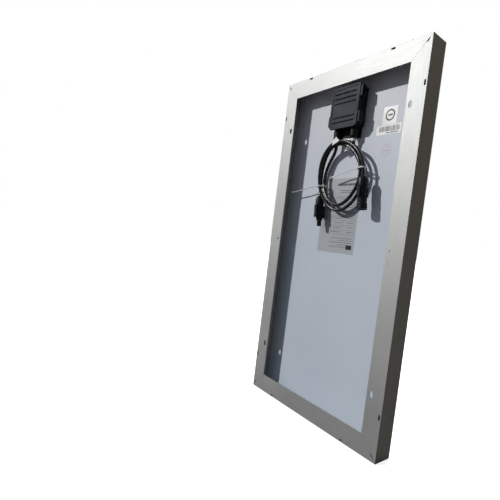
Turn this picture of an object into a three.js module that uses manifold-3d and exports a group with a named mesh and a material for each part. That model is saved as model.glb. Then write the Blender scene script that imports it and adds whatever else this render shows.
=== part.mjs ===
// A small framed photovoltaic panel with a junction box and two connector leads on its back.
//
// Millimetres. +Z is up along the long edge, the glass faces -Y and the back faces +Y.
// The origin is the centre of the back plane, where the four mounting slots are.
// +X is the viewer's right from the front and the viewer's left from the back.

import * as THREE from 'three';
import { mergeVertices } from 'three/addons/utils/BufferGeometryUtils.js';
import Module from 'manifold-3d';

const wasm = await Module();
wasm.setup();

// ---------------------------------------------------------------- driving dimensions

const WIDTH = 345;
const HEIGHT = 640;
const DEPTH = 35;
const HALF_W = WIDTH / 2;
const HALF_H = HEIGHT / 2;

const RAIL = {
  lipWidth: 8,
  lipThickness: 1.5,
  channelBottom: 2,
  ledgeFront: 8.2,
  ledgeBack: 9.8,
  ledgeWidth: 11,
  wall: 1.6,
  flangeWidth: 33.5,
  flangeThickness: 1.6,
  mitreGap: 0.15,
  grooveDepths: [5, 11, 17.5, 24, 30],
  grooveHalfWidth: 0.4,
  grooveDepth: 0.35,
};

const MOUNT_SLOT = { fromOuterFace: 25, fromEnd: 98.5, width: 7, length: 11 };
const DRAIN_SLOT = {
  sideFromFace: 4, sideFromEnd: 70.7, endFromFace: 2.8, endFromCentre: 100, width: 3.3, length: 9,
};
const GROUND_HOLE = { fromOuterFace: 25.5, diameter: 4.2 };
// Small wedge left open beside each mitre, from the outer face and from the rail's end.
const MITRE_NOTCH = [[4.5, 4.5], [12, 12], [6.8, 11.2]];

// Depths of the laminate's layers, as y from the front face to the back face of each.
const LAYERS = {
  glass: [-32.7, -29.5],
  frontEncapsulant: [-29.4, -29.05],
  ribbon: [-28.95, -28.7],
  cell: [-28.75, -28.55],
  outputRibbon: [-28.45, -28.2],
  rearEncapsulant: [-28.1, -27.8],
  backsheet: [-27.7, -27.4],
  label: [-27.3, -27.15],
};
const LAMINATE_INSET = 3.5;

const CELL = { width: 156.75, height: 31.35, rowGap: 2, columnGap: 3, rows: 18, ribbons: 5 };
const CELLS_BOTTOM = -298.5;
const CELLS_TOP = CELLS_BOTTOM + CELL.rows * CELL.height + (CELL.rows - 1) * CELL.rowGap;
const RIBBON_WIDTH = 1.1;
const BUS = { bottom: -308, top: -305.5 };

// Junction box: outline in X and Z, wall heights in Y.
const BOX = {
  halfWidth: 33,
  bottom: 210,
  top: 281,
  floorBack: -26.3,
  floorFront: -24.3,
  rim: -6.4,
  wall: 2,
  cornerCut: 5,
  lidOverhang: 1.5,
  lidBack: -6.2,
  lidFront: -3.6,
};
const RIBBON_SLOT = { halfWidth: 25, bottom: 260, top: 270 };
const TERMINAL_X = [-20, 0, 20];
const GLAND = { x: 21, y: -16.5, spigotEnd: 199.5, nutTop: 207.5, nutEnd: 191.5, nutRadius: 7.6 };

const LEAD_RADIUS = 3;
const LEAD_SIDES = 10;
const LEAD_STEPS = 52;

// Each connector's top, where the lead enters, and the lean of its axis from upright, in degrees.
const PLUG_PLACE = { top: [45.8, -13.5, 88], lean: 7.5 };
const SOCKET_PLACE = { top: [-64.5, -7, 118.5], lean: 7.5 };

// ---------------------------------------------------------------- solids

function signedVolume(position, index) {
  const a = new THREE.Vector3();
  const b = new THREE.Vector3();
  const c = new THREE.Vector3();
  let sum = 0;
  for (let i = 0; i < index.count; i += 3) {
    a.fromBufferAttribute(position, index.getX(i));
    b.fromBufferAttribute(position, index.getX(i + 1));
    c.fromBufferAttribute(position, index.getX(i + 2));
    sum += a.dot(b.cross(c));
  }
  return sum / 6;
}

// A closed geometry becomes a manifold solid with its faces pointing out.
function solid(geometry) {
  const bare = geometry.clone();
  bare.deleteAttribute('normal');
  bare.deleteAttribute('uv');
  const merged = mergeVertices(bare, 1e-4);
  const triVerts = Uint32Array.from(merged.index.array);
  if (signedVolume(merged.attributes.position, merged.index) < 0) {
    for (let i = 0; i < triVerts.length; i += 3) {
      [triVerts[i], triVerts[i + 1]] = [triVerts[i + 1], triVerts[i]];
    }
  }
  const vertProperties = Float32Array.from(merged.attributes.position.array);
  return new wasm.Manifold(new wasm.Mesh({ numProp: 3, vertProperties, triVerts }));
}

function join(...parts) {
  return parts.reduce((whole, part) => whole.add(part));
}

function cut(body, ...cutters) {
  return cutters.reduce((rest, cutter) => rest.subtract(cutter), body);
}

// An axis-aligned block between two X, two Y and two Z values.
function block([x0, x1], [y0, y1], [z0, z1]) {
  const geometry = new THREE.BoxGeometry(x1 - x0, y1 - y0, z1 - z0);
  geometry.translate((x0 + x1) / 2, (y0 + y1) / 2, (z0 + z1) / 2);
  return solid(geometry);
}

// An outline in X and Z, given depth along Y.
function plate(shape, [y0, y1]) {
  const options = { depth: y1 - y0, bevelEnabled: false, curveSegments: 6 };
  const geometry = new THREE.ExtrudeGeometry(shape, options);
  geometry.rotateX(Math.PI / 2);
  geometry.translate(0, y1, 0);
  return solid(geometry);
}

// An outline in X and Y, given height along Z.
function column(shape, [z0, z1]) {
  const options = { depth: z1 - z0, bevelEnabled: false, curveSegments: 6 };
  const geometry = new THREE.ExtrudeGeometry(shape, options);
  geometry.translate(0, 0, z0);
  return solid(geometry);
}

function outline(points) {
  return new THREE.Shape(points.map(([a, b]) => new THREE.Vector2(a, b)));
}

function stadium(cx, cz, width, height) {
  const shape = new THREE.Shape();
  const r = Math.min(width, height) / 2;
  const dx = width / 2 - r;
  const dz = height / 2 - r;
  const start = height > width ? 0 : -Math.PI / 2;
  shape.absarc(cx + dx, cz + dz, r, start, start + Math.PI, false);
  shape.absarc(cx - dx, cz - dz, r, start + Math.PI, start + 2 * Math.PI, false);
  return shape;
}

// A turned shape about Z from a closed profile of [radius, z] points.
function turned(profile, sides = 24) {
  const points = profile.map(([r, z]) => new THREE.Vector2(r, z));
  const closesOnAxis = profile[0][0] === 0 && profile[profile.length - 1][0] === 0;
  if (!closesOnAxis) points.push(points[0].clone());
  const geometry = new THREE.LatheGeometry(points, sides);
  geometry.rotateX(Math.PI / 2);
  return solid(geometry);
}

function ring(outer, inner, [z0, z1], sides = 24) {
  return turned([[inner, z0], [outer, z0], [outer, z1], [inner, z1]], sides);
}

function rod(radius, [z0, z1], sides = 16) {
  return turned([[0, z0], [radius, z0], [radius, z1], [0, z1]], sides);
}

// ---------------------------------------------------------------- scene helpers

const MATERIALS = {
  anodised: [0xd6d8da, 0.42, 0.85],
  castKey: [0x9a9da1, 0.55, 0.8],
  sealant: [0xe9eaec, 0.7, 0],
  glass: [0xdfeaf2, 0.06, 0],
  encapsulant: [0xeef2f6, 0.3, 0],
  cell: [0x16285f, 0.28, 0.1],
  ribbon: [0xb9bcc8, 0.35, 0.8],
  backsheet: [0xd9dbe3, 0.6, 0],
  blackPlastic: [0x1b1d20, 0.45, 0],
  slatePlastic: [0x3c444c, 0.5, 0],
  rubber: [0x141414, 0.85, 0],
  tinned: [0xc4c4c0, 0.35, 0.85],
  lead: [0x121315, 0.5, 0],
  nylon: [0xe6e6e2, 0.45, 0],
  paper: [0xf2f2f0, 0.8, 0],
  foil: [0xb4b9bc, 0.5, 0.3],
};

const panel = new THREE.Group();

function addMesh(parent, name, body, look) {
  const mesh = body.getMesh();
  const geometry = new THREE.BufferGeometry();
  geometry.setAttribute('position', new THREE.BufferAttribute(Float32Array.from(mesh.vertProperties), 3));
  geometry.setIndex(Array.from(mesh.triVerts));
  geometry.computeVertexNormals();
  const [color, roughness, metalness] = MATERIALS[look];
  const item = new THREE.Mesh(geometry, new THREE.MeshStandardMaterial({ color, roughness, metalness }));
  item.name = name;
  parent.add(item);
  return item;
}

// ---------------------------------------------------------------- frame

// Cross-section of a rail standing at +X: u runs inward from the outer face, d from front to back.
function railSection(outerX) {
  const at = (u, d) => [outerX - u, d - DEPTH];
  const grooves = [...RAIL.grooveDepths].reverse().flatMap((d) => [
    at(0, d + RAIL.grooveHalfWidth),
    at(RAIL.grooveDepth, d + RAIL.grooveHalfWidth / 2),
    at(RAIL.grooveDepth, d - RAIL.grooveHalfWidth / 2),
    at(0, d - RAIL.grooveHalfWidth),
  ]);
  const bevel = 0.8;
  const flangeFront = DEPTH - RAIL.flangeThickness;
  const section = outline([
    at(bevel, 0),
    at(RAIL.lipWidth, 0),
    at(RAIL.lipWidth, RAIL.lipThickness),
    at(RAIL.channelBottom, RAIL.lipThickness),
    at(RAIL.channelBottom, RAIL.ledgeFront),
    at(RAIL.ledgeWidth, RAIL.ledgeFront),
    at(RAIL.ledgeWidth, flangeFront),
    at(RAIL.flangeWidth, flangeFront),
    at(RAIL.flangeWidth, DEPTH),
    at(bevel / 2, DEPTH),
    at(0, DEPTH - bevel / 2),
    ...grooves,
    at(0, bevel),
  ]);
  const chamber = [
    at(RAIL.wall, flangeFront),
    at(RAIL.ledgeWidth - RAIL.wall, flangeFront),
    at(RAIL.ledgeWidth - RAIL.wall, RAIL.ledgeBack),
    at(RAIL.wall, RAIL.ledgeBack),
  ];
  section.holes.push(new THREE.Path(chamber.map(([x, y]) => new THREE.Vector2(x, y))));
  return section;
}

// A mitred rail standing at +X. Slots and holes go through its back flange only.
function rail(outerX, length, flangeCutters) {
  const bar = column(railSection(outerX), [-length / 2, length / 2]);
  const reach = RAIL.flangeWidth + 4;
  const end = length / 2 - RAIL.mitreGap;
  const mitres = outline([
    [outerX + 1, -end - 1],
    [outerX + 1, end + 1],
    [outerX - reach, end - reach],
    [outerX - reach, -end + reach],
  ]);
  const trimmed = bar.intersect(plate(mitres, [-DEPTH - 1, 1]));
  const cutters = flangeCutters.map((shape) => plate(shape, [-RAIL.flangeThickness - 1, 1]));
  return cut(trimmed, ...cutters);
}

function sideRailCutters(outerX, holes) {
  const slotX = outerX - MOUNT_SLOT.fromOuterFace;
  const slotZ = HALF_H - MOUNT_SLOT.fromEnd;
  const drainX = outerX - DRAIN_SLOT.sideFromFace;
  const drainZ = HALF_H - DRAIN_SLOT.sideFromEnd;
  const holeX = outerX - GROUND_HOLE.fromOuterFace;
  return [
    ...[-slotZ, slotZ].map((z) => stadium(slotX, z, MOUNT_SLOT.width, MOUNT_SLOT.length)),
    ...[-drainZ, drainZ].map((z) => stadium(drainX, z, DRAIN_SLOT.width, DRAIN_SLOT.length)),
    ...holes.map((z) => stadium(holeX, z, GROUND_HOLE.diameter, GROUND_HOLE.diameter + 0.01)),
    ...[-1, 1].map((end) => outline(MITRE_NOTCH.map(([u, v]) => [outerX - u, end * (HALF_H - v)]))),
  ];
}

function endRailCutters(outerX) {
  const drainX = outerX - DRAIN_SLOT.endFromFace;
  return [-1, 1].map((side) => (
    stadium(drainX, side * DRAIN_SLOT.endFromCentre, DRAIN_SLOT.width, DRAIN_SLOT.length)
  ));
}

// The rail at +X has one earthing hole. The rail at -X, turned by half a turn, has two.
const railPlusX = rail(HALF_W, HEIGHT, sideRailCutters(HALF_W, [0]));
const railMinusX = rail(HALF_W, HEIGHT, sideRailCutters(HALF_W, [0, 18]));
const endRail = rail(HALF_H, WIDTH, endRailCutters(HALF_H));
addMesh(panel, 'frame_rail_left', railPlusX, 'anodised');
addMesh(panel, 'frame_rail_right', railMinusX, 'anodised').rotation.y = Math.PI;
addMesh(panel, 'frame_rail_top', endRail, 'anodised').rotation.y = -Math.PI / 2;
addMesh(panel, 'frame_rail_bottom', endRail, 'anodised').rotation.y = Math.PI / 2;

// L-shaped keys that sit in the rails' chambers at each corner, 0.3 mm clear all round.
function cornerKey(sideX, sideZ) {
  const near = RAIL.wall + 0.3;
  const far = RAIL.ledgeWidth - RAIL.wall - 0.3;
  const leg = 46;
  const at = (p, q) => [sideX * (HALF_W - p), sideZ * (HALF_H - q)];
  const depth = [RAIL.ledgeBack + 0.3 - DEPTH, -RAIL.flangeThickness - 0.3];
  const body = plate(outline([
    at(near, near), at(leg, near), at(leg, far), at(far, far), at(far, leg), at(near, leg),
  ]), depth);
  const barbs = [16, 24, 32, 40].flatMap((along) => [
    outline([at(along, near - 1), at(along + 2.5, near - 1), at(along, near + 1)]),
    outline([at(near - 1, along), at(near - 1, along + 2.5), at(near + 1, along)]),
  ]);
  return cut(body, ...barbs.map((shape) => plate(shape, [-DEPTH, 0])));
}

for (const [sideX, nameX] of [[1, 'left'], [-1, 'right']]) {
  for (const [sideZ, nameZ] of [[1, 'top'], [-1, 'bottom']]) {
    addMesh(panel, `corner_key_${nameZ}_${nameX}`, cornerKey(sideX, sideZ), 'castKey');
  }
}

// A U-section bead of sealant that wraps the laminate's edge inside the rails' channel.
function perimeterSealant() {
  const across = (inset) => [-HALF_W + inset, HALF_W - inset];
  const along = (inset) => [-HALF_H + inset, HALF_H - inset];
  const back = RAIL.ledgeFront - DEPTH - 0.1;
  const front = RAIL.lipThickness - DEPTH + 0.1;
  const outer = RAIL.channelBottom + 0.3;
  const bead = block(across(outer), [front, back], along(outer));
  const pocket = block(across(3.3), [LAYERS.glass[0] - 0.1, LAYERS.backsheet[1] + 0.1], along(3.3));
  const opening = block(across(RAIL.lipWidth + 0.2), [front - 1, back + 1], along(RAIL.lipWidth + 0.2));
  return cut(bead, pocket, opening);
}
addMesh(panel, 'edge_sealant', perimeterSealant(), 'sealant');

// ---------------------------------------------------------------- laminate

function sheet(layer, inset) {
  return block([-HALF_W + inset, HALF_W - inset], layer, [-HALF_H + inset, HALF_H - inset]);
}

// The slot lets the output ribbons through to the junction box.
function slotCutter(layer) {
  return block([-RIBBON_SLOT.halfWidth, RIBBON_SLOT.halfWidth], [layer[0] - 1, layer[1] + 1],
    [RIBBON_SLOT.bottom, RIBBON_SLOT.top]);
}

addMesh(panel, 'front_glass', sheet(LAYERS.glass, LAMINATE_INSET), 'glass');
addMesh(panel, 'encapsulant_front', sheet(LAYERS.frontEncapsulant, LAMINATE_INSET + 0.3), 'encapsulant');
const rearEncapsulant = sheet(LAYERS.rearEncapsulant, LAMINATE_INSET + 0.3);
addMesh(panel, 'encapsulant_rear', cut(rearEncapsulant, slotCutter(LAYERS.rearEncapsulant)), 'encapsulant');
addMesh(panel, 'backsheet',
  cut(sheet(LAYERS.backsheet, LAMINATE_INSET), slotCutter(LAYERS.backsheet)), 'backsheet');

// One column of cells, soldered together by five ribbons whose tails reach the bottom bus.
function cellString(side) {
  const inner = CELL.columnGap / 2;
  const low = side > 0 ? inner : -inner - CELL.width;
  const cells = Array.from({ length: CELL.rows }, (_, row) => {
    const z0 = CELLS_BOTTOM + row * (CELL.height + CELL.rowGap);
    return block([low, low + CELL.width], LAYERS.cell, [z0, z0 + CELL.height]);
  });
  const ribbons = Array.from({ length: CELL.ribbons }, (_, k) => {
    const x = low + (k + 0.5) * (CELL.width / CELL.ribbons);
    return block([x - RIBBON_WIDTH / 2, x + RIBBON_WIDTH / 2], LAYERS.ribbon, [BUS.bottom, CELLS_TOP - 1.5]);
  });
  return join(...cells, ...ribbons);
}
addMesh(panel, 'cell_string_left', cellString(1), 'cell');
addMesh(panel, 'cell_string_right', cellString(-1), 'cell');

// Flat bus at the bottom that puts the two strings in series, behind their ribbon tails.
const busReach = CELL.columnGap / 2 + CELL.width * (1 - 0.5 / CELL.ribbons) + RIBBON_WIDTH;
addMesh(panel, 'bus_ribbon_bottom',
  block([-busReach, busReach], [-28.6, -28.4], [BUS.bottom, BUS.top]), 'ribbon');

// A ribbon's end that rises through the slot and lies over its terminal plate.
function ribbonRiser(x) {
  const half = 2.5;
  const rise = block([x - half, x + half], [LAYERS.outputRibbon[0], -20.6], [262.5, 262.9]);
  const tab = block([x - half, x + half], [-20.9, -20.6], [252, 262.9]);
  return join(rise, tab);
}

function outputRibbon(side) {
  const x = side * 20;
  const far = side * (CELL.columnGap / 2 + CELL.width - 16);
  const across = block([Math.min(x, far) - 2.5, Math.max(x, far) + 2.5], LAYERS.outputRibbon, [287.5, 292.5]);
  const down = block([x - 2.5, x + 2.5], LAYERS.outputRibbon, [262.5, 292.5]);
  return join(across, down, ribbonRiser(x));
}
addMesh(panel, 'output_ribbon_left', outputRibbon(1), 'ribbon');
addMesh(panel, 'output_ribbon_right', outputRibbon(-1), 'ribbon');

// Centre tap for the bypass diodes, from the bottom bus up behind the gap between the columns.
const centreTap = join(block([-2.5, 2.5], [-28.3, -28.2], [BUS.bottom, 262.9]),
  block([-2.5, 2.5], LAYERS.outputRibbon, [-300, 262.9]), ribbonRiser(0));
addMesh(panel, 'centre_tap_ribbon', centreTap, 'ribbon');

// ---------------------------------------------------------------- labels on the backsheet

const LABELS = {
  rating_label: { x: [-44.5, 50.5], z: [-13.5, 124], look: 'foil' },
  mark_label: { x: [-103.5, -74], z: [208.8, 238.5], look: 'paper' },
  serial_label: { x: [-115.5, -63.5], z: [192.5, 208.2], look: 'paper' },
};
for (const [name, { x, z, look }] of Object.entries(LABELS)) {
  addMesh(panel, name, block(x, LAYERS.label, z), look);
}

// ---------------------------------------------------------------- junction box

// The box's outline grown or shrunk by an offset, with its two lower corners cut off.
function boxOutline(offset) {
  const x = BOX.halfWidth + offset;
  const z0 = BOX.bottom - offset;
  const z1 = BOX.top + offset;
  const corner = BOX.cornerCut;
  const small = 1.5;
  return outline([
    [-x + corner, z0], [x - corner, z0], [x, z0 + corner], [x, z1 - small],
    [x - small, z1], [-x + small, z1], [-x, z1 - small], [-x, z0 + corner],
  ]);
}

addMesh(panel, 'box_adhesive_pad',
  cut(plate(boxOutline(-3), [-27.3, -26.5]), slotCutter([-27.3, -26.5])), 'sealant');

function boxBase() {
  const shell = plate(boxOutline(0), [BOX.floorBack, BOX.rim]);
  const cavity = plate(boxOutline(-BOX.wall), [BOX.floorFront, BOX.rim + 1]);
  const ribbonSlot = slotCutter([BOX.floorBack, BOX.floorFront]);
  const posts = TERMINAL_X.map((x) => block([x - 4, x + 4], [BOX.floorFront - 0.5, -22.3], [234, 250]));
  const tongue = block([-29, 29], [BOX.floorBack, -24.7], [194, BOX.bottom + 1]);
  const rib = block([-12, 12], [BOX.floorBack, -20], [196, BOX.bottom + 1]);
  const hooks = [-1, 1].flatMap((side) => CLIP.z.map((z) => {
    const reach = [side * (BOX.halfWidth - 0.5), side * (CLIP.outer - 0.6)].sort((a, b) => a - b);
    return block(reach, [-12.2, -8.8], [z - 5, z + 5]);
  }));
  let body = cut(shell, cavity, ribbonSlot);
  body = join(body, ...posts, tongue, rib, ...hooks);
  for (const side of [-1, 1]) {
    const spigot = rod(5.6, [GLAND.spigotEnd, BOX.bottom + 1], 20).translate([side * GLAND.x, GLAND.y, 0]);
    const bore = rod(3.6, [GLAND.spigotEnd - 1, BOX.bottom + 4], 16).translate([side * GLAND.x, GLAND.y, 0]);
    body = cut(join(body, spigot), bore);
  }
  return body;
}

// Snap clips: loops that hang from the lid over hooks on the base's side walls.
const CLIP = { z: [224.5, 268.5], halfHeight: 9, inner: 36.6, outer: 38.6, back: -15, front: -5, window: 6 };

function boxLid() {
  const body = plate(boxOutline(BOX.lidOverhang), [BOX.lidBack, BOX.lidFront]);
  const recess = plate(boxOutline(BOX.lidOverhang - 3.5), [BOX.lidFront - 0.8, BOX.lidFront + 1]);
  const grooves = [219.6, 227.8, 253, 261.7, 270.3].map((z) => (
    block([-26, 27], [BOX.lidFront - 1.6, BOX.lidFront + 1], [z - 0.7, z + 0.7])
  ));
  const plug = cut(plate(boxOutline(-BOX.wall - 1.7), [-9.2, BOX.lidBack + 0.4]),
    plate(boxOutline(-BOX.wall - 3.2), [-10, BOX.lidBack]));
  const clips = [-1, 1].flatMap((side) => CLIP.z.map((z) => {
    const span = (a, b) => [side * a, side * b].sort((p, q) => p - q);
    const reach = [z - CLIP.halfHeight, z + CLIP.halfHeight];
    const arm = block(span(CLIP.inner, CLIP.outer), [CLIP.back, CLIP.front], reach);
    const tab = block(span(BOX.halfWidth, CLIP.outer), [BOX.lidBack, CLIP.front], reach);
    const window = block(span(CLIP.inner - 1, CLIP.outer + 1), [-13, -7.4],
      [z - CLIP.window, z + CLIP.window]);
    return join(cut(arm, window), tab);
  }));
  return join(cut(body, recess, ...grooves), plug, ...clips);
}

function lidGasket() {
  return cut(plate(boxOutline(-BOX.wall - 0.3), [-8.8, -7]), plate(boxOutline(-BOX.wall - 1.4), [-10, -6]));
}

addMesh(panel, 'junction_box_base', boxBase(), 'blackPlastic');
addMesh(panel, 'junction_box_lid', boxLid(), 'slatePlastic');
addMesh(panel, 'lid_gasket', lidGasket(), 'rubber');

// Terminal plates. The outer two end in a crimp barrel in line with their gland.
function terminalPlate(x) {
  const plateBody = block([x - 5, x + 5], [-22, -21.2], [231, 259]);
  if (x === 0) return plateBody;
  const glandX = Math.sign(x) * GLAND.x;
  const barrel = rod(2.4, [219.8, 230], 12).translate([glandX, GLAND.y, 0]);
  const web = block([glandX - 1.2, glandX + 1.2], [-22, GLAND.y], [226, 233]);
  return join(plateBody, web, barrel);
}
addMesh(panel, 'terminal_plate_left', terminalPlate(20), 'tinned');
addMesh(panel, 'terminal_plate_centre', terminalPlate(0), 'tinned');
addMesh(panel, 'terminal_plate_right', terminalPlate(-20), 'tinned');

// A bypass diode lying between two neighbouring plates, with a leg over each.
function bypassDiode(x) {
  const axisY = -18.2;
  const z = 242;
  const along = (radius, half, sides) => {
    const bar = new THREE.CylinderGeometry(radius, radius, 2 * half, sides);
    bar.rotateZ(Math.PI / 2);
    bar.translate(x, axisY, z);
    return solid(bar);
  };
  const legs = [-8.5, 8.5].map((dx) => (
    block([x + dx - 0.6, x + dx + 0.6], [-20.9, axisY], [z - 0.6, z + 0.6])
  ));
  return join(along(2.6, 4.6, 16), along(0.6, 9.1, 8), ...legs);
}
addMesh(panel, 'bypass_diode_left', bypassDiode(10), 'blackPlastic');
addMesh(panel, 'bypass_diode_right', bypassDiode(-10), 'blackPlastic');

// ---------------------------------------------------------------- cable glands

function grips(radius, [z0, z1], count, depth) {
  return Array.from({ length: count }, (_, k) => {
    const groove = block([radius - depth, radius + 1], [-0.7, 0.7], [z0, z1]);
    return groove.rotate([0, 0, (360 * (k + 0.5)) / count]);
  });
}

function glandNut() {
  const { nutTop, nutEnd, nutRadius } = GLAND;
  const body = turned([
    [3.45, nutEnd], [5.6, nutEnd], [nutRadius, nutEnd + 3.5], [nutRadius, nutTop],
    [6, nutTop], [6, nutEnd + 4.5], [3.45, nutEnd + 4.5],
  ]);
  return cut(body, ...grips(nutRadius, [nutEnd + 4.5, nutTop + 1], 12, 0.6));
}

for (const [side, name] of [[1, 'left'], [-1, 'right']]) {
  addMesh(panel, `gland_nut_${name}`, glandNut(), 'blackPlastic').position.set(side * GLAND.x, GLAND.y, 0);
  addMesh(panel, `gland_seal_${name}`, ring(5.6, 3.4, [196.4, 199.2], 20), 'rubber')
    .position.set(side * GLAND.x, GLAND.y, 0);
}

// ---------------------------------------------------------------- leads

// Each lead leaves its gland downwards, makes one turn of the hanging loop and ends in its connector.
const LEAD_LEFT = [
  [21, -16.5, 219.3], [21, -16.5, 205], [21, -16.5, 191], [21.5, -17.3, 182], [25.5, -18.5, 170],
  [33, -19, 158], [39.5, -19, 146], [43, -18.5, 133], [43, -17.5, 121], [40.5, -15.5, 109],
  [35, -14, 98.5], [27, -12.5, 88.5], [17, -11.5, 80], [5, -11, 74], [-8, -11, 72], [-20.5, -11, 75.5],
  [-33, -11, 84], [-43, -10.5, 95], [-50, -10.5, 108], [-53, -10.5, 122], [-52, -10.5, 136.5],
  [-47, -10.7, 149], [-38, -11, 160.5], [-25, -11, 171.5], [-9, -10.7, 179.5], [7, -10.6, 182.5],
  [21, -10.8, 180.5], [32.5, -12.5, 174.5], [41, -14.5, 166], [47, -15.5, 155.5], [51, -16.5, 144],
  [53, -17.5, 132], [53.3, -18, 120], [52, -17.2, 108], [48.8, -15.2, 97.5], [45.8, -13.5, 88],
  [44.39, -13.5, 77.3],
];
const LEAD_RIGHT = [
  [-21, -16.5, 219.3], [-21, -16.5, 205], [-21, -16.5, 191], [-21.5, -17.3, 182], [-25.5, -18.5, 170],
  [-33, -19, 158], [-41.5, -19, 146], [-48, -19, 132], [-51.5, -18.5, 117], [-51, -17.5, 103],
  [-47, -16.5, 91], [-40, -15.5, 80.5], [-31, -14.5, 72], [-19.5, -14, 65.5], [-7, -13.5, 63],
  [7, -13, 65.5], [20.5, -12.5, 72.5], [33, -11.5, 84], [42.5, -10.5, 98], [47.5, -9.5, 113.5],
  [49.2, -8.5, 129.5], [48.5, -8, 143.5], [45, -7.5, 156.5], [39, -7, 167.5], [30, -6, 175.5],
  [18.5, -4.4, 181.5], [5.5, -4, 184], [-7.5, -4, 184.5], [-20, -4.3, 181.5], [-34, -5, 174.5],
  [-47, -5.5, 164], [-56, -6, 151.5], [-61.3, -6.6, 138], [-63.5, -7, 126], [-64.5, -7, 118.5],
  [-66, -7, 107],
];

function lead(points) {
  const path = new THREE.CatmullRomCurve3(points.map((p) => new THREE.Vector3(...p)), false, 'centripetal');
  const section = new THREE.Shape();
  for (let k = 0; k < LEAD_SIDES; k += 1) {
    const angle = (2 * Math.PI * k) / LEAD_SIDES;
    const x = LEAD_RADIUS * Math.cos(angle);
    const y = LEAD_RADIUS * Math.sin(angle);
    if (k === 0) section.moveTo(x, y);
    else section.lineTo(x, y);
  }
  const options = { steps: LEAD_STEPS, extrudePath: path, bevelEnabled: false };
  return solid(new THREE.ExtrudeGeometry(section, options));
}
addMesh(panel, 'lead_left', lead(LEAD_LEFT), 'lead');
addMesh(panel, 'lead_right', lead(LEAD_RIGHT), 'lead');

// ---------------------------------------------------------------- connectors

// Local frame of a connector: the lead enters at the origin and the axis runs down -Z.
function connectorGroup({ top, lean }) {
  const group = new THREE.Group();
  group.position.set(...top);
  group.rotation.y = THREE.MathUtils.degToRad(lean);
  panel.add(group);
  return group;
}

function capNut(radius, length, bore) {
  const body = turned([
    [3.5, 0], [radius - 2.6, 0], [radius, -5], [radius, -length], [bore, -length], [bore, -5.5], [3.5, -5.5],
  ]);
  return cut(body, ...grips(radius, [-length - 1, -5.5], 8, 0.7));
}

// A side latch arm: rooted on the housing, it runs clear of it and ends in a hook.
function latchArm(side, { root, end, gap, bodyRadius, thickness, hook }) {
  const span = (a, b) => [side * a, side * b].sort((p, q) => p - q);
  const inner = bodyRadius + gap;
  const arm = block([-3, 3], span(inner, inner + thickness), [end, root]);
  const foot = block([-3, 3], span(bodyRadius - 1, inner + thickness), [root - 3, root]);
  const tip = block([-3, 3], span(inner, inner + thickness + hook), [end, end + 4]);
  return join(arm, foot, tip);
}

const plug = connectorGroup(PLUG_PLACE);
const PLUG = { capRadius: 8, capLength: 15, spigot: 6, body: 7.2, bodyEnd: -44, nose: 4.1, noseEnd: -56 };

function plugBody() {
  const core = turned([
    [3.7, -9.9], [PLUG.spigot, -9.9], [PLUG.spigot, -15.4], [PLUG.body, -15.4], [PLUG.body, -34],
    [6.2, -PLUG.capLength - 21], [6.2, PLUG.bodyEnd], [PLUG.nose, PLUG.bodyEnd], [PLUG.nose, PLUG.noseEnd],
    [2, PLUG.noseEnd], [2, -16], [3.7, -14],
  ]);
  const arm = { root: -17, end: -40, gap: 1.6, bodyRadius: PLUG.body, thickness: 1.8, hook: 0.9 };
  return join(core, latchArm(1, arm), latchArm(-1, arm));
}
addMesh(plug, 'plug_cap_nut', capNut(PLUG.capRadius, PLUG.capLength, PLUG.spigot + 0.4), 'blackPlastic');
addMesh(plug, 'plug_cable_seal', ring(5.8, 3.4, [-9.6, -5.9], 20), 'rubber');
addMesh(plug, 'plug_housing', plugBody(), 'blackPlastic');
addMesh(plug, 'plug_contact', cut(rod(1.7, [-54, -13.2], 12), rod(0.9, [-55, -40], 10)), 'tinned');
addMesh(plug, 'plug_o_ring', ring(4.9, 4.4, [-46.6, -44.8], 20), 'rubber');

const socket = connectorGroup(SOCKET_PLACE);
const SOCKET = {
  capRadius: 8.8, capLength: 15, spigot: 6.6, body: 8.2, waist: 7.7, collar: 8.8, end: -54.5, mouth: 6.6,
};

function socketBody() {
  const core = turned([
    [3.7, -9.9], [SOCKET.spigot, -9.9], [SOCKET.spigot, -15.4], [SOCKET.body, -15.4], [SOCKET.body, -41],
    [SOCKET.waist, -42], [SOCKET.waist, -43.6], [SOCKET.collar, -44.6], [SOCKET.collar, SOCKET.end],
    [SOCKET.mouth, SOCKET.end], [SOCKET.mouth, -33], [2, -33], [2, -16], [3.7, -14],
  ]);
  const arm = { root: -17, end: -33, gap: 1.6, bodyRadius: SOCKET.body, thickness: 1.8, hook: 0.5 };
  return join(core, latchArm(1, arm), latchArm(-1, arm));
}
addMesh(socket, 'socket_cap_nut',
  capNut(SOCKET.capRadius, SOCKET.capLength, SOCKET.spigot + 0.4), 'blackPlastic');
addMesh(socket, 'socket_cable_seal', ring(6.4, 3.4, [-9.6, -5.9], 20), 'rubber');
addMesh(socket, 'socket_housing', socketBody(), 'blackPlastic');
addMesh(socket, 'socket_contact', rod(1.6, [-39, -13.2], 12), 'tinned');

// ---------------------------------------------------------------- cable ties and tags

// The rounded triangle that lies a given distance outside three strands' centres.
function roundedTriangle(centres, radius, [low, high]) {
  const discs = centres.map(([x, y]) => rod(radius, [low, high], 20).translate([x, y, 0]));
  const sides = centres.map(([x0, y0], k) => {
    const [x1, y1] = centres[(k + 1) % centres.length];
    const length = Math.hypot(x1 - x0, y1 - y0);
    const angle = THREE.MathUtils.radToDeg(Math.atan2(y1 - y0, x1 - x0));
    return block([0, length], [-radius, radius], [low, high]).rotate([0, 0, angle]).translate([x0, y0, 0]);
  });
  return join(column(outline(centres), [low, high]), ...discs, ...sides);
}

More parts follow.
